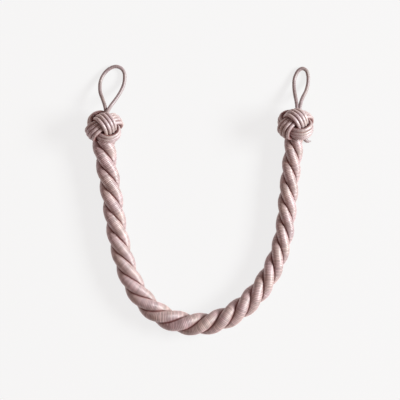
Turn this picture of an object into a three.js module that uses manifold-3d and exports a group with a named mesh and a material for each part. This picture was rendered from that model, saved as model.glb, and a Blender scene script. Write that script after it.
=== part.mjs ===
// A rope curtain tieback, lying in a U on a flat surface. Millimetres, +Z up, the surface at z = 0.
//
// Three cord-covered plies are laid up left-handed into one thick rope. Each end of the rope goes into a
// monkey's fist: a ball knot of three bands, each band four turns of cord wide, over and under one another.
// A loop of the same cord comes out of each knot, and goes over a wall hook when the tieback holds a curtain.
// A short end of the right knot's cord shows beside the rope.

import * as THREE from 'three';
import { mergeVertices } from 'three/addons/utils/BufferGeometryUtils.js';
import Module from 'manifold-3d';

const wasm = await Module();
wasm.setup();

// Clearances and the surface

const GAP = 0.45; // between neighbouring pieces
const FLOOR_SIZE = 800; // side of the block that trims what sinks below the surface
const WELD = 1e-4; // distance below which two corners are one

// The rope

const PLY_NAMES = ['rope_ply_a', 'rope_ply_b', 'rope_ply_c'];
const PLY_COUNT = PLY_NAMES.length;
const PLY_ROUNDNESS = 0.6; // radius of a ply's round outer face, as a share of the rope's radius
const PLY_ARC_SIDES = 6;
const PLY_STEPS = 66;
const SECTION_RADIUS = 12; // rope radius at which the ply's section is drawn
const LAY_LEFT = 75.4; // rope length in which a ply goes once round, at the left knot
const LAY_RIGHT = 68.7; // the same at the right knot, where the rope is twisted harder
const FIRST_PLY_ANGLE = 43; // degrees of the first ply from straight up, at the left knot's centre
const ROPE_END_INSET = 10; // how far inside a knot a ply starts, before it is trimmed

// Crest radius of the rope: { at: distance along it from the left knot's centre, radius }
const ROPE_RADII = [
  { at: 0, radius: 13.9 },
  { at: 23, radius: 13.8 },
  { at: 40, radius: 12.4 },
  { at: 180, radius: 12.1 },
  { at: 225, radius: 12.4 },
  { at: 262, radius: 13.0 },
  { at: 335, radius: 12.9 },
  { at: 385, radius: 11.8 },
  { at: 425, radius: 11.1 },
  { at: 700, radius: 11.1 },
];

// Centre of the rope from the left knot's centre to the right knot's: [x, y, z]
const ROPE_ROUTE = [
  [-109.8, 84.5, 14.0],
  [-109.6, 68.8, 13.9],
  [-108.7, 54.0, 13.1],
  [-106.5, 36.6, 12.4],
  [-103.3, 18.2, 12.0],
  [-100.2, -2.5, 11.8],
  [-96.8, -25.5, 11.8],
  [-92.6, -48.5, 11.7],
  [-86.9, -70.4, 11.8],
  [-79.0, -91.7, 12.0],
  [-67.3, -111.8, 12.4],
  [-51.1, -128.2, 12.7],
  [-30.7, -138.7, 12.7],
  [-8.3, -143.0, 12.7],
  [14.6, -141.1, 12.6],
  [35.8, -132.6, 12.3],
  [54.4, -119.1, 11.8],
  [70.0, -102.2, 11.3],
  [82.3, -82.7, 10.9],
  [91.2, -61.3, 10.8],
  [96.9, -38.8, 10.8],
  [100.0, -15.9, 10.8],
  [102.0, 7.0, 10.9],
  [104.5, 29.9, 11.0],
  [107.0, 50.4, 11.2],
  [108.7, 67.5, 11.8],
  [109.8, 86.9, 12.4],
];

// The knots

const BAND_STEPS = 24;
const BAND_REACH = 19.6; // from the knot's centre to the band's middle, where it lies on top
const BAND_DEPTH = 14.9; // the same where it dives under the next band
const CORE_RADIUS = 14.6; // the hidden middle of the winding
const CORE_DETAIL = 1;
const KNOT_HEIGHT = 0.9; // a knot's size along the rope, as a share of its width
const KNOT_SINK = 0.8; // how much of a knot's underside is pressed flat
const ROOM_DETAIL = 6;

// Half of a band's section: { above: height over the band's middle, aside: distance to the side }
const BAND_SECTION = [
  { above: 2.4, aside: 2.6 },
  { above: 1.4, aside: 6.6 },
  { above: -0.8, aside: 8.2 },
  { above: -3.2, aside: 7.0 },
];
const BAND_TOP = BAND_SECTION[0].above;

// `facing` points at the middle of a knot's most visible face, and `along` the way in which its cords run.
const KNOTS = [
  { name: 'knot_left', centre: [-109.5, 83.1], facing: [0.13, 0.46, 0.878], along: [-0.58, 0.775, -0.32] },
  { name: 'knot_right', centre: [109.8, 86.0], facing: [0, 0.68, 0.73], along: [-0.67, 0.54, -0.5] },
];

// The hanging loops and the loose end

const CORD_DIAMETER = 4.2;
const CORD_SIDES = 8;
const CORD_STEP = 4; // length of one step of a cord's tube

// Centres of the cords: [x, y, z]
const CORDS = [
  {
    name: 'loop_left',
    route: [
      [-107.2, 98.0, 21.0],
      [-108.4, 106.4, 19.4],
      [-111.5, 115.6, 15.4],
      [-114.2, 123.0, 11.2],
      [-115.0, 130.0, 7.6],
      [-114.3, 136.8, 5.0],
      [-112.0, 142.6, 3.4],
      [-108.4, 147.7, 2.35],
      [-103.6, 151.6, 2.1],
      [-96.8, 153.9, 2.1],
      [-90.4, 151.6, 2.1],
      [-87.0, 146.0, 2.35],
      [-86.7, 138.6, 3.4],
      [-87.9, 132.0, 5.0],
      [-90.4, 125.8, 7.6],
      [-93.9, 119.5, 11.2],
      [-98.0, 113.3, 15.4],
      [-102.4, 107.0, 19.4],
      [-106.4, 99.0, 26.0],
    ],
  },
  {
    name: 'loop_right',
    route: [
      [111.8, 99.0, 21.0],
      [111.6, 106.0, 19.4],
      [111.0, 112.6, 15.8],
      [109.9, 119.4, 11.6],
      [109.0, 126.2, 8.0],
      [108.7, 132.6, 5.2],
      [109.2, 138.6, 3.4],
      [111.0, 144.2, 2.35],
      [114.2, 149.3, 2.1],
      [118.7, 151.6, 2.1],
      [123.0, 149.3, 2.1],
      [125.0, 143.6, 2.35],
      [125.2, 137.6, 3.4],
      [124.2, 131.0, 5.2],
      [122.1, 124.6, 8.0],
      [118.9, 118.6, 11.6],
      [116.4, 112.4, 15.8],
      [115.0, 106.0, 19.4],
      [114.4, 99.0, 21.0],
    ],
  },
  {
    name: 'tail_right',
    route: [
      [114.6, 79.0, 11.5],
      [119.1, 73.6, 7.5],
      [122.0, 69.4, 4.5],
      [124.7, 67.4, 2.7],
      [128.3, 67.6, 1.7],
    ],
  },
];

// Finishes

const CORD_FINISH = { color: 0xa98886, roughness: 0.62, metalness: 0 };
const PLY_FINISH = { color: 0xab8a88, roughness: 0.66, metalness: 0 };

// Solids from geometries, and back

const toVector = ([x, y, z]) => new THREE.Vector3(x, y, z);

function solidOf(geometry) {
  const bare = geometry.clone();
  bare.deleteAttribute('normal');
  bare.deleteAttribute('uv');
  const merged = mergeVertices(bare, WELD);
  return new wasm.Manifold(
    new wasm.Mesh({
      numProp: 3,
      vertProperties: new Float32Array(merged.attributes.position.array),
      triVerts: new Uint32Array(merged.index.array),
    }),
  );
}

function meshOf(name, solid, finish) {
  const { vertProperties, triVerts } = solid.getMesh();
  const geometry = new THREE.BufferGeometry();
  geometry.setAttribute('position', new THREE.BufferAttribute(vertProperties, 3));
  geometry.setIndex(new THREE.BufferAttribute(triVerts, 1));
  geometry.computeVertexNormals();
  const mesh = new THREE.Mesh(geometry, new THREE.MeshStandardMaterial(finish));
  mesh.name = name;
  return mesh;
}

function moveVertices(geometry, move) {
  const position = geometry.attributes.position;
  const point = new THREE.Vector3();
  for (let i = 0; i < position.count; i += 1) {
    point.fromBufferAttribute(position, i);
    move(point);
    position.setXYZ(i, point.x, point.y, point.z);
  }
}

function curveThrough(route) {
  return new THREE.CatmullRomCurve3(route.map(toVector), false, 'centripetal');
}

const floor = solidOf(
  new THREE.BoxGeometry(FLOOR_SIZE, FLOOR_SIZE, FLOOR_SIZE).translate(0, 0, -FLOOR_SIZE / 2),
);

// The rope

const ropeCurve = curveThrough(ROPE_ROUTE);
ropeCurve.arcLengthDivisions = 2000;
const ropeLength = ropeCurve.getLength();

function ropeRadius(distance) {
  const next = ROPE_RADII.find(({ at }) => at > distance);
  const last = ROPE_RADII[ROPE_RADII.indexOf(next) - 1];
  const share = THREE.MathUtils.smoothstep(distance, last.at, next.at);
  return THREE.MathUtils.lerp(last.radius, next.radius, share);
}

// How far a ply has gone round the rope, in radians, with a lay that changes evenly from end to end.
function plyTurn(distance) {
  const change = (LAY_RIGHT - LAY_LEFT) / ropeLength;
  return ((2 * Math.PI) / change) * Math.log(1 + (change * distance) / LAY_LEFT);
}

// A third of the rope's round: a round face towards +X, and two flat sides that all but meet on the axis.
function plySection() {
  const radius = PLY_ROUNDNESS * SECTION_RADIUS;
  const offset = SECTION_RADIUS - radius;
  const half = Math.PI / PLY_COUNT;
  const apex = GAP / 2 / Math.sin(half);
  // The side leaves the apex at the angle `half`, and meets the round face after `reach`.
  const back = (apex - offset) * Math.cos(half);
  const reach = -back + Math.sqrt(back ** 2 - (apex - offset) ** 2 + radius ** 2);
  const corner = new THREE.Vector2(apex + reach * Math.cos(half), reach * Math.sin(half));
  const spread = Math.atan2(corner.y, corner.x - offset);
  const middle = new THREE.Vector2((apex + corner.x) / 2, corner.y / 2);
  const points = [new THREE.Vector2(apex, 0), new THREE.Vector2(middle.x, -middle.y)];
  for (let i = 0; i <= PLY_ARC_SIDES; i += 1) {
    const angle = spread * ((2 * i) / PLY_ARC_SIDES - 1);
    points.push(new THREE.Vector2(offset + radius * Math.cos(angle), radius * Math.sin(angle)));
  }
  points.push(middle);
  return new THREE.Shape(points);
}

// With this twist, the extrusion's triangles dip into the ply on every face, and don't reach its neighbour.
function plySolid(index) {
  const depth = ropeLength - 2 * ROPE_END_INSET;
  const geometry = new THREE.ExtrudeGeometry(plySection(), { depth, steps: PLY_STEPS, bevelEnabled: false });
  const firstAngle = THREE.MathUtils.degToRad(90 - FIRST_PLY_ANGLE - (360 / PLY_COUNT) * index);
  const upward = new THREE.Vector3(0, 0, 1);
  moveVertices(geometry, (point) => {
    const distance = ROPE_END_INSET + point.z;
    const scale = ropeRadius(distance) / SECTION_RADIUS;
    const angle = firstAngle - plyTurn(distance);
    const across = scale * (point.x * Math.cos(angle) - point.y * Math.sin(angle));
    const above = scale * (point.x * Math.sin(angle) + point.y * Math.cos(angle));
    const tangent = ropeCurve.getTangentAt(distance / ropeLength);
    const side = upward.clone().cross(tangent).normalize();
    const up = tangent.clone().cross(side);
    ropeCurve.getPointAt(distance / ropeLength, point);
    point.addScaledVector(side, across).addScaledVector(up, above);
  });
  return solidOf(geometry);
}

// The knots

// A closed ring of cord, with `top` and its opposite on top of the next band, and `towards` under another.
function bandSolid(top, towards) {
  const halves = BAND_SECTION.map(({ above, aside }) => new THREE.Vector2(BAND_REACH + above, aside));
  const otherHalves = halves.map(({ x, y }) => new THREE.Vector2(x, -y)).reverse();
  const geometry = new THREE.LatheGeometry([...halves, ...otherHalves, halves[0]], BAND_STEPS);
  moveVertices(geometry, (point) => {
    const radius = Math.hypot(point.x, point.z);
    const dive = (BAND_REACH - BAND_DEPTH) * (point.z / radius) ** 2;
    point.x *= 1 - dive / radius;
    point.z *= 1 - dive / radius;
  });
  const beside = towards.clone().cross(top);
  geometry.applyMatrix4(new THREE.Matrix4().makeBasis(top, beside, towards));
  return solidOf(geometry);
}

// A knot is pressed a little shorter along the rope, and rests on the flat spot under it.
function knotSolid({ centre, facing, along }) {
  const face = toVector(facing).normalize();
  const across = toVector(along).cross(face).normalize();
  const axes = [across, face.clone().cross(across), face];
  const bands = axes.map((top, i) => bandSolid(top, axes[(i + 2) % 3]));
  const core = solidOf(new THREE.IcosahedronGeometry(CORE_RADIUS, CORE_DETAIL));
  const knot = wasm.Manifold.union([core, ...bands]).scale([1, KNOT_HEIGHT, 1]);
  const height = -knot.boundingBox().min[2] - KNOT_SINK;
  return { height, solid: knot.translate([...centre, height]).subtract(floor) };
}

// The space around a knot that its rope and cords stay out of.
function roomAround({ centre }, height) {
  const reach = BAND_REACH + BAND_TOP + 2 * GAP;
  const room = new THREE.IcosahedronGeometry(reach, ROOM_DETAIL).scale(1, KNOT_HEIGHT, 1);
  return solidOf(room.translate(...centre, height));
}

// The cords

function cordSolid({ route }) {
  const path = curveThrough(route);
  const steps = Math.round(path.getLength() / CORD_STEP);
  const section = new THREE.Shape().absarc(0, 0, CORD_DIAMETER / 2, 0, 2 * Math.PI);
  // An arc is drawn with twice as many sides as its curveSegments.
  const curveSegments = CORD_SIDES / 2;
  const settings = { extrudePath: path, steps, curveSegments, bevelEnabled: false };
  return solidOf(new THREE.ExtrudeGeometry(section, settings));
}

// The tieback

const tieback = new THREE.Group();
tieback.name = 'rope_tieback';

const rooms = [];
for (const knot of KNOTS) {
  const { height, solid } = knotSolid(knot);
  rooms.push(roomAround(knot, height));
  tieback.add(meshOf(knot.name, solid, CORD_FINISH));
}
const outside = wasm.Manifold.union([...rooms, floor]);

PLY_NAMES.forEach((name, index) => {
  tieback.add(meshOf(name, plySolid(index).subtract(outside), PLY_FINISH));
});
for (const cord of CORDS) {
  tieback.add(meshOf(cord.name, cordSolid(cord).subtract(outside), CORD_FINISH));
}

export default tieback;
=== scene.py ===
import logging
import math
from dataclasses import dataclass, field
from enum import Enum

import bpy
import numpy as np
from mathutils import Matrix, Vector


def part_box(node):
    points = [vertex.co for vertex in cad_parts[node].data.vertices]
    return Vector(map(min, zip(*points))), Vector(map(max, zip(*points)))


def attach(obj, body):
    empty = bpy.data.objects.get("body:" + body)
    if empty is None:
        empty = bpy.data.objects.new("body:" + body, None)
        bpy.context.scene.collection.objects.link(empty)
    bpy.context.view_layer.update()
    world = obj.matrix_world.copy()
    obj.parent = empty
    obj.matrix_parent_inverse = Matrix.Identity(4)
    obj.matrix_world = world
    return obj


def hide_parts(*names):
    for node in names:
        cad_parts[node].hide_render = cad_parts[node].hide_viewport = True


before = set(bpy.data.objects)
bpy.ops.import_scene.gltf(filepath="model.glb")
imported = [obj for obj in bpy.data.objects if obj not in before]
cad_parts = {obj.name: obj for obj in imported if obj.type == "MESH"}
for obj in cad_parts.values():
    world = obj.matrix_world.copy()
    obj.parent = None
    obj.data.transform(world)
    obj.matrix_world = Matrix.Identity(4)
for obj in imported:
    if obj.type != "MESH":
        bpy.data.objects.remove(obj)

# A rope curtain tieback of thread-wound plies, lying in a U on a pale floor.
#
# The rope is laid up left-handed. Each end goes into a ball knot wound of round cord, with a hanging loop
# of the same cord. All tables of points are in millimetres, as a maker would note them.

MM = 0.001
FULL_TURN = 360.0
UPWARD = np.array([0.0, 0.0, 1.0])
LOG = logging.getLogger("tieback")
Array = np.ndarray
Point = tuple[float, float, float]
Colour = tuple[float, float, float]


# ------------------------------------------------------------------------------ the tables, in millimetres

# The rope's middle, from the left knot's centre to the right knot's
ROPE_ROUTE: tuple[Point, ...] = (
    (-109.8, 84.5, 14.0),
    (-109.6, 68.8, 13.9),
    (-108.7, 54.0, 13.1),
    (-106.5, 36.6, 12.4),
    (-103.3, 18.2, 12.0),
    (-100.2, -2.5, 11.8),
    (-96.8, -25.5, 11.8),
    (-92.6, -48.5, 11.7),
    (-86.9, -70.4, 11.8),
    (-79.0, -91.7, 12.0),
    (-67.3, -111.8, 12.4),
    (-51.1, -128.2, 12.7),
    (-30.7, -138.7, 12.7),
    (-8.3, -143.0, 12.7),
    (14.6, -141.1, 12.6),
    (35.8, -132.6, 12.3),
    (54.4, -119.1, 11.8),
    (70.0, -102.2, 11.3),
    (82.3, -82.7, 10.9),
    (91.2, -61.3, 10.8),
    (96.9, -38.8, 10.8),
    (100.0, -15.9, 10.8),
    (102.0, 7.0, 10.9),
    (104.5, 29.9, 11.0),
    (107.0, 50.4, 11.2),
    (108.7, 67.5, 11.8),
    (109.8, 86.9, 12.4),
)

# The rope's crest radius: how far along it from the left knot's centre, and the radius there
ROPE_RADII: tuple[tuple[float, float], ...] = (
    (0.0, 13.9),
    (23.0, 13.8),
    (40.0, 12.4),
    (180.0, 12.1),
    (225.0, 12.4),
    (262.0, 13.0),
    (335.0, 12.9),
    (385.0, 11.8),
    (425.0, 11.1),
    (700.0, 11.1),
)

# The loops' middles, from the knot up, round and back to it
LOOP_LEFT_ROUTE: tuple[Point, ...] = (
    (-107.2, 98.0, 21.0),
    (-108.4, 106.4, 19.4),
    (-111.5, 115.6, 15.4),
    (-114.2, 123.0, 11.2),
    (-115.0, 130.0, 7.6),
    (-114.3, 136.8, 5.0),
    (-112.0, 142.6, 3.4),
    (-108.4, 147.7, 2.35),
    (-103.6, 151.6, 2.1),
    (-96.8, 153.9, 2.1),
    (-90.4, 151.6, 2.1),
    (-87.0, 146.0, 2.35),
    (-86.7, 138.6, 3.4),
    (-87.9, 132.0, 5.0),
    (-90.4, 125.8, 7.6),
    (-93.9, 119.5, 11.2),
    (-98.0, 113.3, 15.4),
    (-102.4, 107.0, 19.4),
    (-106.4, 99.0, 26.0),
)

# The same for the narrow loop
LOOP_RIGHT_ROUTE: tuple[Point, ...] = (
    (111.8, 99.0, 21.0),
    (111.6, 106.0, 19.4),
    (111.0, 112.6, 15.8),
    (109.9, 119.4, 11.6),
    (109.0, 126.2, 8.0),
    (108.7, 132.6, 5.2),
    (109.2, 138.6, 3.4),
    (111.0, 144.2, 2.35),
    (114.2, 149.3, 2.1),
    (118.7, 151.6, 2.1),
    (123.0, 149.3, 2.1),
    (125.0, 143.6, 2.35),
    (125.2, 137.6, 3.4),
    (124.2, 131.0, 5.2),
    (122.1, 124.6, 8.0),
    (118.9, 118.6, 11.6),
    (116.4, 112.4, 15.8),
    (115.0, 106.0, 19.4),
    (114.4, 99.0, 21.0),
)

# The loose end's middle, from inside the right knot to its tip
TAIL_RIGHT_ROUTE: tuple[Point, ...] = (
    (114.6, 79.0, 11.5),
    (119.1, 73.6, 7.5),
    (122.0, 69.4, 4.5),
    (124.7, 67.4, 2.7),
    (128.3, 67.6, 1.7),
)


# ----------------------------------------------------------------------------------------------- helpers


def smoothstep(value: Array, low: float | Array, high: float | Array) -> Array:
    """Rises smoothly from 0 at `low` to 1 at `high`.

    Args:
        value: The numbers to place between the two ends.
        low: Where the rise starts, or that for each number.
        high: Where the rise ends; it may be below `low`.

    Returns:
        An array of shares from 0 to 1.
    """
    share = np.clip((np.asarray(value, float) - low) / (high - low), 0.0, 1.0)
    return share * share * (3.0 - 2.0 * share)


@dataclass(frozen=True)
class Wander:
    """A smooth, seeded, random wave that makes a piece a little uneven.

    `size` is its typical height. `wavelength` is the typical length of a swell, in the unit of the distances.
    It is the sum of `waves` sine waves, with random `rates` and `weights` between those given.
    """

    size: float
    wavelength: float
    seed: int = 0
    waves: int = 6
    rates: tuple[float, float] = (0.6, 1.9)
    weights: tuple[float, float] = (0.3, 1.0)
    typical_sum: float = 2.4

    def at(self, distance: Array, shift: int = 0) -> Array:
        """Gives the wave at some distances.

        Args:
            distance: Where the wave is wanted.
            shift: What to add to the seed, for another wave of the same kind.

        Returns:
            Heights of about -`size` to `size`.
        """
        rng = np.random.default_rng(self.seed + shift)
        distance = np.asarray(distance, float)
        total = np.zeros_like(distance)
        for _ in range(self.waves):
            rate = 2.0 * math.pi / (self.wavelength * rng.uniform(*self.rates))
            phase = rng.uniform(0.0, 2.0 * math.pi)
            total += np.sin(distance * rate + phase) * rng.uniform(*self.weights)
        return self.size * (total / self.typical_sum)


def unit(vectors: Array) -> Array:
    """Scales vectors to length 1."""
    return vectors / np.linalg.norm(vectors, axis=-1, keepdims=True)


class Course:
    """The smooth line that a rope or cord follows, measured by the distance along it."""

    SAMPLES = 80

    def __init__(self, points: Array) -> None:
        """Threads a centripetal Catmull-Rom line through given points.

        Args:
            points: The points, one a row.
        """
        points = np.asarray(points, float)
        ends = np.vstack([2 * points[0] - points[1], points, 2 * points[-1] - points[-2]])
        share = np.linspace(0.0, 1.0, self.SAMPLES, endpoint=False)[:, None]
        runs = [self._run(four, share) for four in zip(ends, ends[1:], ends[2:], ends[3:])]
        self.line = np.vstack([*runs, points[-1:]])
        steps = np.linalg.norm(np.diff(self.line, axis=0), axis=1)
        self.marks = np.concatenate([[0.0], np.cumsum(steps)])
        self.length = float(self.marks[-1])
        self.directions = unit(np.gradient(self.line, self.marks, axis=0))

    @staticmethod
    def _run(points: tuple[Array, Array, Array, Array], share: Array) -> Array:
        """Draws the stretch between the two middle points of four.

        Args:
            points: Four points that follow one another.
            share: How far along the stretch each sample lies, from 0 to 1, one a row.

        Returns:
            The samples, one a row.
        """
        before, start, end, after = points
        pairs = ((before, start), (start, end), (end, after))
        back, here, ahead = (math.sqrt(np.linalg.norm(b - a)) for a, b in pairs)
        leave = ((start - before) / back - (end - before) / (back + here)) * here + (end - start)
        reach = ((after - end) / ahead - (after - start) / (here + ahead)) * here + (end - start)
        bend = -3 * start + 3 * end - 2 * leave - reach
        twist = 2 * start - 2 * end + leave + reach
        return start + leave * share + bend * share**2 + twist * share**3

    def _between(self, rows: Array, distance: Array) -> Array:
        """Reads a table, which has one row for each of the line's marks, at some distances."""
        return np.stack([np.interp(distance, self.marks, column) for column in rows.T], axis=-1)

    def at(self, distance: Array) -> Array:
        """Gives the points at some distances.

        Args:
            distance: Distances along the line, in an array of any shape.

        Returns:
            The points, with one more axis than `distance`.
        """
        return self._between(self.line, distance)

    def heading(self, distance: Array) -> Array:
        """Gives the unit directions of the line at some distances.

        Args:
            distance: Distances along the line, in an array of any shape.

        Returns:
            The directions, with one more axis than `distance`.
        """
        return unit(self._between(self.directions, distance))


@dataclass
class Weave:
    """Collects grids of points into one closed mesh, with a thread map and a crevice attribute for painted
    shade.
    """

    corners: list[Array] = field(default_factory=list)
    faces: list[Array] = field(default_factory=list)
    maps: list[Array] = field(default_factory=list)
    crevices: list[Array] = field(default_factory=list)
    count: int = 0

    def add(self, rings: Array, turns: Array, crevice: Array) -> None:
        """Adds a closed tube made of rings of points.

        Args:
            rings: Points as [ring, place round the ring, xyz], going round to the left of the travel.
            turns: The map's first number for each ring: how many threads have gone by.
            crevice: How deep in a crevice each point lies, from 0 to 1, as [ring, place]; the material paints
            shade by it.
        """
        rows, sides, _ = rings.shape
        place = np.arange(rows * sides).reshape(rows, sides) + self.count
        ahead = np.roll(place, -1, axis=1)
        quads = np.stack([place[:-1], ahead[:-1], ahead[1:], place[1:]], axis=-1).reshape(-1, 4)
        girth = np.arange(sides + 1) / sides
        u = np.broadcast_to(np.asarray(turns, float)[:, None], (rows, sides))
        low = np.broadcast_to(girth[:-1], (rows, sides))
        high = np.broadcast_to(girth[1:], (rows, sides))
        corner = [(u[:-1], low[:-1]), (u[:-1], high[:-1]), (u[1:], high[1:]), (u[1:], low[1:])]
        quad_map = np.stack([np.stack(pair, axis=-1) for pair in corner], axis=2).reshape(-1, 4, 2)
        self.corners.append(rings.reshape(-1, 3))
        self.crevices.append(np.broadcast_to(crevice, (rows, sides)).reshape(-1))
        self.faces.append(quads)
        self.maps.append(quad_map)
        self.count += rows * sides
        self._cap(rings[0], place[0], turns[0], faces_back=True)
        self._cap(rings[-1], place[-1], turns[-1], faces_back=False)

    def _cap(self, ring: Array, numbers: Array, turn: float, faces_back: bool) -> None:
        """Closes one end of a tube with a fan of triangles.

        Args:
            ring: The end's points.
            numbers: Their numbers in the mesh.
            turn: The map's first number there.
            faces_back: Whether the fan faces back along the tube, as at its start.
        """
        sides = len(numbers)
        self.corners.append(ring.mean(axis=0)[None])
        # The cap's middle takes the full painted crevice shade.
        self.crevices.append(np.ones(1))
        pair = np.stack([numbers, np.roll(numbers, -1)], axis=-1)
        pair = pair[:, ::-1] if faces_back else pair
        self.faces.append(np.column_stack([pair, np.full(sides, self.count)]))
        self.maps.append(np.full((sides, 3, 2), (turn, 0.5)))
        self.count += 1

    def mesh(self, name: str) -> bpy.types.Object:
        """Makes the Blender object.

        Args:
            name: The piece's name.

        Returns:
            A smooth-shaded object at the origin.
        """
        data = bpy.data.meshes.new(name)
        sizes = np.concatenate([np.full(len(block), block.shape[1]) for block in self.faces])
        loops = np.concatenate([block.reshape(-1) for block in self.faces])
        starts = np.concatenate([[0], np.cumsum(sizes)[:-1]])
        data.vertices.add(self.count)
        data.vertices.foreach_set("co", np.vstack(self.corners).astype(np.float32).reshape(-1))
        data.loops.add(len(loops))
        data.loops.foreach_set("vertex_index", loops.astype(np.int32))
        data.polygons.add(len(sizes))
        data.polygons.foreach_set("loop_start", starts.astype(np.int32))
        data.polygons.foreach_set("loop_total", sizes.astype(np.int32))
        thread_map = data.uv_layers.new(name="threads")
        flat = np.concatenate([block.reshape(-1, 2) for block in self.maps])
        thread_map.data.foreach_set("uv", flat.astype(np.float32).reshape(-1))
        painted_shade = data.attributes.new("crevice", "FLOAT", "POINT")
        painted_shade.data.foreach_set("value", np.concatenate(self.crevices).astype(np.float32))
        data.polygons.foreach_set("use_smooth", np.ones(len(sizes), dtype=bool))
        data.update(calc_edges=True)
        data.validate()
        piece = bpy.data.objects.new(name, data)
        bpy.context.scene.collection.objects.link(piece)
        return piece


# ----------------------------------------------------------------------------------------------- shading


class Signal:
    """A shader socket that takes part in plain arithmetic."""

    def __init__(self, graph: "Graph", socket: bpy.types.NodeSocket) -> None:
        """Wraps a socket of a graph."""
        self.graph = graph
        self.socket = socket

    def _math(self, operation: str, first: object, second: object) -> "Signal":
        """Adds one Math node.

        Args:
            operation: The Math node's operation.
            first: A signal or number.
            second: A signal or number.

        Returns:
            The result.
        """
        return self.graph.node("ShaderNodeMath", {"operation": operation}, {0: first, 1: second})

    def __add__(self, other: object) -> "Signal":
        """Adds."""
        return self._math("ADD", self, other)

    __radd__ = __add__

    def __sub__(self, other: object) -> "Signal":
        """Subtracts."""
        return self._math("SUBTRACT", self, other)

    def __rsub__(self, other: object) -> "Signal":
        """Subtracts from a number."""
        return self._math("SUBTRACT", other, self)

    def __mul__(self, other: object) -> "Signal":
        """Multiplies."""
        return self._math("MULTIPLY", self, other)

    def __pow__(self, other: object) -> "Signal":
        """Raises to a power."""
        return self._math("POWER", self, other)

    def fraction(self) -> "Signal":
        """Keeps what follows the decimal point."""
        return self._math("FRACT", self, 0.0)

    def whole(self) -> "Signal":
        """Drops what follows the decimal point."""
        return self._math("FLOOR", self, 0.0)

    def size(self) -> "Signal":
        """Drops the sign."""
        return self._math("ABSOLUTE", self, 0.0)


class Graph:
    """The node graph of one material."""

    def __init__(self, material: bpy.types.Material) -> None:
        """Empties a material's node tree and keeps it.

        Args:
            material: The material.
        """
        material.use_nodes = True
        self.tree = material.node_tree
        self.tree.nodes.clear()

    def node(
        self, kind: str, settings: dict[str, object], inputs: dict[str | int, object], output: str | int = 0
    ) -> Signal:
        """Adds a node.

        Args:
            kind: The node's type.
            settings: Its own settings, set before its sockets.
            inputs: Its sockets' values, or signals to link to them, by name or number.
            output: The name or number of the output to use.

        Returns:
            That output.
        """
        made = self.tree.nodes.new(kind)
        for key, value in settings.items():
            setattr(made, key, value)
        for key, value in inputs.items():
            if isinstance(value, Signal):
                self.tree.links.new(value.socket, made.inputs[key])
            else:
                made.inputs[key].default_value = value
        return Signal(self, made.outputs[output])

    def close(self, surface: Signal) -> None:
        """Links a surface to the material's output."""
        output = self.tree.nodes.new("ShaderNodeOutputMaterial")
        self.tree.links.new(surface.socket, output.inputs["Surface"])

    def noise(self, place: Signal, scale: float, detail: float) -> Signal:
        """Adds a smooth noise.

        Args:
            place: Where it is read.
            scale: How many swells it has in one unit.
            detail: How much finer noise it adds.

        Returns:
            Its value, from 0 to 1.
        """
        return self.node("ShaderNodeTexNoise", {}, {"Vector": place, "Scale": scale, "Detail": detail})

    def blend(self, share: object, first: object, second: object, how: str = "MIX") -> Signal:
        """Mixes two colours.

        Args:
            share: How much of the second, a signal or number.
            first: The first colour, a signal or four numbers.
            second: The second colour.
            how: The blend type.

        Returns:
            The mixed colour.
        """
        settings = {"data_type": "RGBA", "blend_type": how, "clamp_factor": True}
        return self.node("ShaderNodeMix", settings, {0: share, 6: first, 7: second}, 2)


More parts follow.
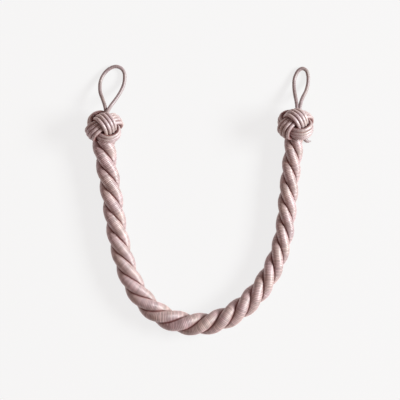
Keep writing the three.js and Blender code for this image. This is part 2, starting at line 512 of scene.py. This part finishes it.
@dataclass(frozen=True)
class ThreadFinish:
    """Soft satin thread, wound closely round a ply or cord.

    Colours are linear. `fade` is how much the threads differ from one another, and the three shares after it
    say how much of that comes from patches, from whole threads and from their fibres. `drift` is how far the
    hue wanders to either side. The second colour is painted shade, which the crevice attribute mixes in where
    plies and cords meet, and one share darkens the line between two threads with painted shade. A scale is in
    swells a metre, and `fibres` in fibres along a thread's width and round the cord.
    """

    name: str
    colour: Colour
    # crevice: the colour of the painted shade between plies and between cords
    crevice: Colour
    roughness: float = 0.45
    roughness_spread: float = 0.2
    sheen: float = 0.4
    sheen_roughness: float = 0.45
    sheen_tint: Colour = (1.0, 0.5, 0.45)
    specular: float = 1.0
    fade: float = 0.32
    patch_share: float = 2.0
    thread_share: float = 1.3
    fibre_share: float = 1.4
    patch_scale: float = 85.0
    hue_scale: float = 60.0
    hue_gain: float = 3.0
    drift: float = 0.02
    # painted shade in the valley between two threads, and how narrow that line is
    valley_shade: float = 0.8
    valley_shade_sharpness: float = 3.5
    fibres: tuple[float, float] = (5.0, 34.0)
    fibre_bump: float = 0.35
    fibre_height: float = 0.00012

    def material(self) -> bpy.types.Material:
        """Makes the finish's material.

        Returns:
            The material, for any piece with a thread map and a crevice attribute.
        """
        material = bpy.data.materials.get(self.name)
        if material:
            return material
        material = bpy.data.materials.new(self.name)
        graph = Graph(material)
        mapped = graph.node("ShaderNodeUVMap", {"uv_map": "threads"}, {})
        turn, girth = self._split(graph, mapped)
        place = graph.node("ShaderNodeTexCoord", {}, {}, "Object")
        painted_shade = graph.node("ShaderNodeAttribute", {"attribute_name": "crevice"}, {}, "Fac")

        patch = graph.noise(place, self.patch_scale, 3.0)
        hue = graph.noise(place, self.hue_scale, 2.0)
        number = {"W": turn.whole()}
        thread = graph.node("ShaderNodeTexWhiteNoise", {"noise_dimensions": "1D"}, number, "Value")
        along, round_it = self.fibres
        weave = graph.node("ShaderNodeCombineXYZ", {}, {0: turn * along, 1: girth * round_it})
        fibre = graph.noise(weave, 1.0, 2.0)

        # Painted shade: a dark line in the valley between two threads.
        valley_shade = ((turn.fraction() - 0.5).size() * 2.0) ** self.valley_shade_sharpness
        tone = 1.0 + (patch - 0.5) * (self.patch_share * self.fade)
        tone = tone + (thread - 0.5) * (self.thread_share * self.fade)
        tone = (tone + (fibre - 0.5) * (self.fibre_share * self.fade)) * (1.0 - valley_shade * self.valley_shade)
        shade = graph.node("ShaderNodeCombineColor", {}, {0: tone, 1: tone, 2: tone})
        red, green, blue = self.colour
        warm = (red, green * (1.0 + self.drift), blue * (1.0 - 2.0 * self.drift), 1.0)
        cool = (red, green * (1.0 - self.drift), blue * (1.0 + 2.0 * self.drift), 1.0)
        body = graph.blend((hue - 0.5) * self.hue_gain + 0.5, warm, cool)
        # Painted shade: the crevice attribute mixes in the dark crevice colour where plies and cords meet.
        body = graph.blend(painted_shade, body, (*self.crevice, 1.0))
        colour = graph.blend(1.0, body, shade, "MULTIPLY")

        relief = {"Strength": self.fibre_bump, "Distance": self.fibre_height, "Height": fibre}
        bump = graph.node("ShaderNodeBump", {}, relief, "Normal")
        rough = self.roughness + (fibre - 0.5) * self.roughness_spread
        surface = graph.node(
            "ShaderNodeBsdfPrincipled",
            {},
            {
                "Base Color": colour,
                "Roughness": rough,
                "Normal": bump,
                "Sheen Weight": self.sheen,
                "Sheen Roughness": self.sheen_roughness,
                "Sheen Tint": (*self.sheen_tint, 1.0),
                "Specular IOR Level": self.specular,
            },
        )
        graph.close(surface)
        return material

    @staticmethod
    def _split(graph: Graph, mapped: Signal) -> tuple[Signal, Signal]:
        """Splits a map into its two numbers.

        Args:
            graph: The material's graph.
            mapped: The map.

        Returns:
            The first and the second number.
        """
        first = graph.node("ShaderNodeSeparateXYZ", {}, {"Vector": mapped}, "X")
        second = graph.node("ShaderNodeSeparateXYZ", {}, {"Vector": mapped}, "Y")
        return first, second


class Thread(Enum):
    """The finishes of the rope's plies and the knots' cord, and the cord darkened with painted shade for the
    loops and loose end.
    """

    # The second colour of each finish is painted crevice shade.
    PLY = ThreadFinish("ply thread", (0.450, 0.336, 0.331), (0.135, 0.022, 0.018))
    CORD = ThreadFinish("round cord", (0.446, 0.363, 0.357), (0.12, 0.021, 0.018), valley_shade=0.35, fade=0.2)
    # The knots' cord, darkened: painted shade on the loops, and on the loose end in the ball's shadow.
    SHADED_CORD = ThreadFinish("loop cord", (0.268, 0.213, 0.213), (0.10, 0.030, 0.030), valley_shade=0.35, fade=0.2)


# ------------------------------------------------------------------------------------------- the pieces


@dataclass
class LaidRope:
    """The thick rope: three plies, each wound closely with thread, laid up left-handed. Millimetres.

    A ply goes once round the rope in `lay_left` at the left end and `lay_right` at the right end. `neck` is
    the share of the rope's radius that is left inside a knot, and `neck_run` says between which distances
    from its end the rope grows from that to its full size. `thread_profile` is the height of each row of
    points that makes up one thread, as a share of `thread_relief`.
    """

    names: tuple[str, ...] = ("rope_ply_a", "rope_ply_b", "rope_ply_c")
    route: tuple[Point, ...] = ROPE_ROUTE
    radii: tuple[tuple[float, float], ...] = ROPE_RADII
    lay_left: float = 75.4
    lay_right: float = 68.7
    first_ply: float = 43.0
    roundness: float = 0.59
    ply_gap: float = 0.25
    end_inset: float = 11.0
    least_inset: float = 2.0
    free_inset: float = 17.0
    neck: float = 0.5
    neck_run: tuple[float, float] = (8.0, 17.5)
    thread: float = 1.55
    thread_relief: float = 0.42
    thread_profile: tuple[float, ...] = (-0.62, 0.5, 0.38)
    thread_swell: float = 0.0035
    thread_rise: float = 0.02
    # crevice_from: where on a ply's arc the painted groove shade sets in
    crevice_from: float = 0.78
    swelling: Wander = Wander(0.012, 30.0, 60)
    relief_change: Wander = Wander(0.25, 14.0, 70)
    swaying: Wander = Wander(0.03, 45.0, 80)
    arc_sides: int = 16
    wall_sides: int = 3
    path_marks: int = 160
    diameter: float = 24.5
    first_thread: float = 997.0
    seed: int = 40

    def __post_init__(self) -> None:
        """Threads the rope's line through its points."""
        self.course = Course(self.route)

    def build(self) -> bpy.types.Object:
        """Returns:
            The rope.
        """
        weave = Weave()
        for number in range(len(self.names)):
            self._lay_ply(weave, number)
        rope = weave.mesh("rope")
        rope.data.materials.append(Thread.PLY.value.material())
        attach(rope, "root")
        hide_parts(*self.names)
        marks = np.linspace(self.free_inset, self.course.length - self.free_inset, self.path_marks)
        path = self.course.at(marks) * MM
        return rope

    def _radius(self, distance: Array) -> Array:
        """Gives the rope's crest radius, drawn in where it goes into a knot.

        Args:
            distance: Distances along the rope.

        Returns:
            Radii.
        """
        marks, sizes = np.array(self.radii).T
        last = np.clip(np.searchsorted(marks, distance, side="right") - 1, 0, len(marks) - 2)
        share = smoothstep(distance, marks[last], marks[last + 1])
        radius = sizes[last] + (sizes[last + 1] - sizes[last]) * share
        inside = np.minimum(distance, self.course.length - distance)
        return radius * (self.neck + (1.0 - self.neck) * smoothstep(inside, *self.neck_run))

    def _turn(self, distance: Array) -> Array:
        """Says how far a ply has gone round, with a lay that changes evenly.

        Args:
            distance: Distances along the rope.

        Returns:
            Angles in radians.
        """
        change = (self.lay_right - self.lay_left) / self.course.length
        return 2.0 * math.pi / change * np.log(1.0 + change * distance / self.lay_left)

    def _section(self) -> tuple[Array, Array, Array, Array]:
        """Draws one ply's section for a rope of radius 1, from its tip on the rope's axis.

        Returns:
            The points' outward and sideways coordinates, their outward normals, and how much painted shade
            each takes, rising towards the crevice between two plies.
        """
        half = math.pi / len(self.names)
        radius = self.roundness
        offset = 1.0 - radius
        tip = self.ply_gap / 2.0 / self._mean_radius() / math.sin(half)
        back = (tip - offset) * math.cos(half)
        reach = -back + math.sqrt(back**2 - (tip - offset) ** 2 + radius**2)
        corner = np.array([tip + reach * math.cos(half), reach * math.sin(half)])
        spread = math.atan2(corner[1], corner[0] - offset)
        angles = np.linspace(-spread, spread, self.arc_sides + 1)
        arc = np.column_stack([offset + radius * np.cos(angles), radius * np.sin(angles)])
        share = np.linspace(0.0, 1.0, self.wall_sides + 1, endpoint=False)[1:, None]
        start = np.array([tip, 0.0])
        rising = start + share * (corner * [1, -1] - start)
        falling = (start + share * (corner - start))[::-1]
        points = np.vstack([start, rising, arc, falling])
        bare = len(rising) + 1
        normals = np.zeros_like(points)
        normals[bare : bare + len(arc)] = np.column_stack([np.cos(angles), np.sin(angles)])
        # Painted shade: full on the hidden walls, and on the arc it rises towards the groove between two
        # plies.
        painted_shade = np.ones(len(points))
        painted_shade[bare : bare + len(arc)] = smoothstep(np.abs(angles) / spread, self.crevice_from, 1.0)
        return points[:, 0], points[:, 1], normals, painted_shade

    def _mean_radius(self) -> float:
        """Gives the radius that the section's gap is drawn for."""
        return self.diameter / 2.0

    def _lay_ply(self, weave: Weave, number: int) -> None:
        """Lays one ply into the rope.

        Args:
            weave: The mesh that takes it.
            number: Which ply.
        """
        outward, sideways, normals, painted_shade = self._section()
        centre = (1.0 - self.roundness) * self._mean_radius()
        slope = math.atan(2.0 * math.pi * centre / ((self.lay_left + self.lay_right) / 2.0))
        thread_rows = len(self.thread_profile)
        step = self.thread * math.cos(slope) / thread_rows
        rows = int((self.course.length - 2.0 * self.end_inset) / step)
        base = self.end_inset + step * np.arange(rows + 1)
        slant = sideways * self._mean_radius() * math.sin(slope) * math.cos(slope)
        distance = base[:, None] - slant[None, :]
        distance = np.clip(distance, self.least_inset, self.course.length - self.least_inset)

        rng = np.random.default_rng(self.seed + number)
        counter = np.arange(rows + 1)
        each = counter // thread_rows
        jitter = rng.normal(0.0, 1.0, each.max() + 1)[each]
        profile = np.array(self.thread_profile)[counter % thread_rows]
        swell = 1.0 + self.swelling.at(base, number) + self.thread_swell * jitter
        change = 1.0 + self.relief_change.at(base, number)
        relief = self.thread_relief * profile * change + self.thread_rise * jitter

        radius = self._radius(distance)
        out = outward[None, :] * radius * swell[:, None] + normals[None, :, 0] * relief[:, None]
        side = sideways[None, :] * radius * swell[:, None] + normals[None, :, 1] * relief[:, None]
        angle = math.radians(self.first_ply + FULL_TURN / len(self.names) * number) + self._turn(distance)
        angle = angle + self.swaying.at(base, number)[:, None]
        heading = self.course.heading(distance)
        left = unit(np.cross(UPWARD, heading))
        up = np.cross(heading, left)
        away = np.cos(angle)[..., None] * up + np.sin(angle)[..., None] * left
        around = -np.sin(angle)[..., None] * up + np.cos(angle)[..., None] * left
        points = self.course.at(distance) + out[..., None] * away + side[..., None] * around
        points[..., 2] = np.maximum(points[..., 2], 0.0)
        # The points must go round to the left of the travel, and `around` turns the other way.
        turns = counter / thread_rows + self.first_thread * number
        weave.add(points[:, ::-1] * MM, turns, painted_shade[::-1])


@dataclass
class RoundCord:
    """A round cord wound closely with fine thread, swept along a line. Millimetres.

    It is drawn in over its last `point` to `tip` of its thickness. `flank` says between which cosines of the
    angle to the ball's outward direction its flanks go from no painted shade to the full painted crevice
    shade.
    """

    diameter: float = 4.7
    sides: int = 12
    thread: float = 1.0
    thread_profile: tuple[float, ...] = (-0.5, 0.5)
    relief: float = 0.05
    swelling: Wander = Wander(0.02, 22.0)
    point: float = 0.0
    tip: float = 0.3
    flank: tuple[float, float] = (0.74, 0.1)
    steep: float = 0.8

    def sweep(self, weave: Weave, course: Course, seed: int, middle: Array | None = None) -> None:
        """Adds the cord to a mesh.

        Args:
            weave: The mesh that takes it.
            course: Its centre line.
            seed: Which small unevenness it has.
            middle: The middle of the ball it is wound round; its flanks take painted crevice shade there.
            None if it lies free.
        """
        thread_rows = len(self.thread_profile)
        rows = int(course.length / (self.thread / thread_rows))
        marks = np.linspace(0.0, course.length, rows + 1)
        line = course.at(marks)
        heading = course.heading(marks)
        normal = self._carried(heading)
        across = np.cross(heading, normal)
        angles = 2.0 * math.pi * np.arange(self.sides) / self.sides
        counter = np.arange(rows + 1)
        swell = 1.0 + self.swelling.at(marks, seed)
        if self.point:
            swell = swell * (self.tip + (1.0 - self.tip) * smoothstep(course.length - marks, 0.0, self.point))
        profile = np.array(self.thread_profile)[counter % thread_rows]
        radius = self.diameter / 2.0 * swell + self.relief * profile
        level = np.cos(angles)[None, :, None] * normal[:, None]
        ring = level + np.sin(angles)[None, :, None] * across[:, None]
        points = line[:, None] + radius[:, None, None] * ring
        points[..., 2] = np.maximum(points[..., 2], 0.0)
        crevice = np.zeros(points.shape[:2])
        # Painted shade on the flanks that turn away from the ball's outside.
        if middle is not None:
            outward = unit(line - middle)[:, None]
            crevice = smoothstep(np.sum(ring * outward, axis=-1), *self.flank)
        weave.add(points * MM, counter / thread_rows, crevice)

    def _carried(self, heading: Array) -> Array:
        """Carries a sideways direction along a line without twisting it.

        Args:
            heading: The line's unit directions.

        Returns:
            A unit vector across the line for each of them.
        """
        first = UPWARD if abs(heading[0][2]) < self.steep else np.array([0.0, 1.0, 0.0])
        current = unit(first - heading[0] * first.dot(heading[0]))
        carried = [current]
        for ahead in heading[1:]:
            current = current - ahead * current.dot(ahead)
            current = current / math.sqrt(current.dot(current))
            carried.append(current)
        return np.array(carried)


@dataclass
class BallKnot:
    """A monkey's fist: three bands of cord, four turns each, over and under one another. Millimetres.

    `facing` points at the middle of its most visible face, and `along` the way in which the cords run there.
    Each turn is a rounded oval, long where the band is on top and short where it runs underneath. The outer
    turns lie lower by `drop` and `dip`. A turn passes into the next one within `lane_change` degrees to
    either side, and over the last `tuck_angle` degrees the cord's ends sink to `tucked` of their reach.
    """

    node: str
    facing: Point
    along: Point
    seed: int
    height: float = 20.6
    turns: int = 4
    cord: RoundCord = field(default_factory=RoundCord)
    pitch_over: float = 4.7
    pitch_under: float = 3.6
    over: float = 20.6
    drop: float = 1.4
    under: float = 13.9
    dip: float = 1.5
    roundness: float = 2.4
    angle_step: float = 5.0
    lane_change: float = 24.0
    tuck_angle: float = 26.0
    tucked: float = 0.72
    rising: Wander = Wander(0.12, 110.0, 2)
    straying: Wander = Wander(0.14, 150.0, 1)
    heart: float = 12.0
    heart_rows: int = 19
    heart_sides: int = 24
    heart_hole: float = 0.03
    squeeze: float = 0.885

    def __post_init__(self) -> None:
        """Finds the ball's middle, over the middle of the node that it replaces."""
        low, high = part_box(self.node)
        self.middle = np.array([*((low + high) / (2.0 * MM)).xy, self.height])

    def build(self) -> bpy.types.Object:
        """Winds the knot and dresses it.

        Returns:
            The knot.
        """
        face = unit(np.array(self.facing))
        across = unit(np.cross(np.array(self.along), face))
        axes = [across, np.cross(face, across), face]
        weave = Weave()
        for number, top in enumerate(axes):
            band = self._band(top, axes[(number + 2) % 3], self.seed + 10 * number)
            self.cord.sweep(weave, band, self.seed + number, self.middle)
        self._heart(weave)
        knot = weave.mesh(self.node + "_wound")
        knot.data.materials.append(Thread.CORD.value.material())
        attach(knot, "root")
        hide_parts(self.node)
        return knot

    def _place(self, local: Array) -> Array:
        """Moves points from the ball's middle to the knot's place, a little shorter along the rope."""
        return local * [1.0, self.squeeze, 1.0] + self.middle

    def _band(self, top: Array, towards: Array, seed: int) -> Course:
        """Follows one band's cord through all its turns.

        Args:
            top: The middle of the face where the band is on top.
            towards: The face under which it dives, where each turn starts.
            seed: Which small unevenness it has.

        Returns:
            The cord's line.
        """
        angle = np.arange(0.0, FULL_TURN * self.turns + 0.1, self.angle_step)
        laps = FULL_TURN * np.arange(1, self.turns)
        outer = (self.turns - 1) / 2.0
        lane = sum(smoothstep(angle, lap - self.lane_change, lap + self.lane_change) for lap in laps) - outer
        edge = (np.abs(lane) / outer) ** 2
        over = self.over - self.drop * edge + self.rising.at(angle, seed)
        under = self.under - self.dip * edge
        bearing = np.radians(angle + 90.0)
        pitch = self.pitch_over + (self.pitch_under - self.pitch_over) * np.sin(bearing) ** 2
        aside = lane * pitch + self.straying.at(angle, seed)
        power = self.roundness
        spread = np.abs(np.cos(bearing) / over) ** power + np.abs(np.sin(bearing) / under) ** power
        reach = spread ** (-1.0 / power)
        inside = np.minimum(angle, angle[-1] - angle)
        reach = reach * (self.tucked + (1.0 - self.tucked) * smoothstep(inside, 0.0, self.tuck_angle))
        local = reach[:, None] * (np.cos(bearing)[:, None] * top + np.sin(bearing)[:, None] * towards)
        return Course(self._place(local + aside[:, None] * np.cross(towards, top)))

    def _heart(self, weave: Weave) -> None:
        """Fills the middle of the winding, so that nothing shows through its corners. It is dark all over
        with painted crevice shade.

        Args:
            weave: The knot's mesh.
        """
        polar = np.linspace(self.heart_hole, math.pi - self.heart_hole, self.heart_rows)[:, None]
        angles = (2.0 * math.pi * np.arange(self.heart_sides) / self.heart_sides)[None, :]
        high = np.broadcast_to(-np.cos(polar), (self.heart_rows, self.heart_sides))
        ball = np.stack([np.sin(polar) * np.cos(angles), np.sin(polar) * np.sin(angles), high], axis=-1)
        # The heart takes the full painted crevice shade.
        weave.add(self._place(ball * self.heart) * MM, np.arange(float(self.heart_rows)), np.ones(high.shape))


@dataclass
class HangingLoop:
    """A bight of the knot's cord that goes over a wall hook. Millimetres."""

    node: str
    route: tuple[Point, ...]
    seed: int
    cord: RoundCord = field(default_factory=lambda: RoundCord(diameter=4.2))
    path_marks: int = 60

    def build(self) -> bpy.types.Object:
        """Returns:
            The loop.
        """
        course = Course(self.route)
        weave = Weave()
        self.cord.sweep(weave, course, self.seed)
        loop = weave.mesh(self.node + "_cord")
        # The loop takes the cord darkened with painted shade.
        loop.data.materials.append(Thread.SHADED_CORD.value.material())
        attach(loop, "root")
        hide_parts(self.node)
        marks = np.linspace(0.0, course.length, self.path_marks)
        path = course.at(marks) * MM
        return loop


@dataclass
class LooseEnd:
    """The short end of a knot's cord that sticks out beside the rope. Millimetres."""

    node: str
    route: tuple[Point, ...]
    seed: int
    cord: RoundCord = field(default_factory=lambda: RoundCord(diameter=5.0, point=7.0))

    def build(self) -> bpy.types.Object:
        """Builds the end and dresses it.

        Returns:
            The end.
        """
        weave = Weave()
        self.cord.sweep(weave, Course(self.route), self.seed)
        end = weave.mesh(self.node + "_cord")
        # The loose end takes the cord darkened with painted shade, for the ball's shadow.
        end.data.materials.append(Thread.SHADED_CORD.value.material())
        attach(end, "root")
        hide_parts(self.node)
        return end


# -------------------------------------------------------------------------------------------- the studio


@dataclass
class Studio:
    """A pale floor, one broad low window on the right, and a camera straight above. Metres and watts."""

    lens: float = 200.0
    sensor: float = 36.0
    clip_end: float = 20.0
    view_width: float = 0.46
    sight_height: float = 0.012
    aim: tuple[float, float] = (0.00035, -0.00023)
    floor_size: float = 6.0
    floor_drop: float = 0.0002
    floor_colour: Colour = (0.10, 0.10, 0.10)
    floor_roughness: float = 0.9
    floor_specular: float = 0.1
    floor_glow: float = 0.8
    window_place: Point = (7.6, 0.7, 4.2)
    window_size: tuple[float, float] = (4.4, 2.2)
    window_power: float = 1480.0
    window_colour: Colour = (0.95, 1.0, 1.0)
    room_colour: Colour = (1.0, 0.67, 0.61)
    room_light: float = 0.38

    def camera(self) -> None:
        """Places the camera straight above the tieback, with the loops at the top of its view."""
        data = bpy.data.cameras.new("camera")
        data.type = "PERSP"
        data.lens = self.lens
        data.sensor_width = self.sensor
        data.clip_end = self.clip_end
        camera = bpy.data.objects.new("camera", data)
        distance = self.view_width * self.lens / self.sensor
        camera.location = (*self.aim, distance + self.sight_height)
        bpy.context.scene.collection.objects.link(camera)
        bpy.context.scene.camera = camera

    def _floor(self) -> None:
        """Lays the floor, just under the surface that the tieback lies on."""
        bpy.ops.object.select_all(action="DESELECT")
        bpy.ops.mesh.primitive_plane_add(size=self.floor_size, location=(0.0, 0.0, -self.floor_drop))
        floor = bpy.context.active_object
        floor.name = "floor"
        bpy.ops.object.transform_apply(location=True, rotation=True, scale=True)
        material = bpy.data.materials.new("pale floor")
        graph = Graph(material)
        surface = graph.node(
            "ShaderNodeBsdfPrincipled",
            {},
            {
                "Base Color": (*self.floor_colour, 1.0),
                "Roughness": self.floor_roughness,
                "Specular IOR Level": self.floor_specular,
                "Emission Color": (1.0, 1.0, 1.0, 1.0),
                "Emission Strength": self.floor_glow,
            },
        )
        graph.close(surface)
        floor.data.materials.append(material)

    def _window(self) -> None:
        """Hangs the soft rectangular window so that it faces the tieback."""
        data = bpy.data.lights.new("window", "AREA")
        data.shape = "RECTANGLE"
        data.size, data.size_y = self.window_size
        data.energy = self.window_power
        data.color = self.window_colour
        window = bpy.data.objects.new("window", data)
        window.location = self.window_place
        window.rotation_euler = (-Vector(self.window_place)).to_track_quat("-Z", "Y").to_euler()
        bpy.context.scene.collection.objects.link(window)

    def _room(self) -> None:
        """Adds the faint, even light of the room."""
        world = bpy.data.worlds.new("room")
        world.use_nodes = True
        inputs = world.node_tree.nodes["Background"].inputs
        inputs["Color"].default_value = (*self.room_colour, 1.0)
        inputs["Strength"].default_value = self.room_light
        bpy.context.scene.world = world

    def build(self) -> None:
        """Builds the floor, the window and the room's light."""
        self._floor()
        self._window()
        self._room()
        bpy.context.scene.view_settings.view_transform = "Standard"


# ------------------------------------------------------------------------------------------------- main


def main() -> None:
    """Builds the tieback piece by piece, then the studio round it."""
    logging.basicConfig(level=logging.INFO, format="%(name)s: %(message)s")
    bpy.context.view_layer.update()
    studio = Studio()
    studio.camera()

    pieces = (
        LaidRope(),
        HangingLoop("loop_left", LOOP_LEFT_ROUTE, seed=21),
        HangingLoop("loop_right", LOOP_RIGHT_ROUTE, seed=22),
        BallKnot("knot_left", (0.13, 0.46, 0.878), (-0.58, 0.775, -0.32), seed=31),
        BallKnot("knot_right", (0.0, 0.68, 0.73), (-0.67, 0.54, -0.5), seed=32),
        LooseEnd("tail_right", TAIL_RIGHT_ROUTE, seed=23),
    )
    for piece in pieces:
        made = piece.build()
        LOG.info("%s: %d faces", made.name, len(made.data.polygons))
    studio.build()


if __name__ == "__main__":
    main()
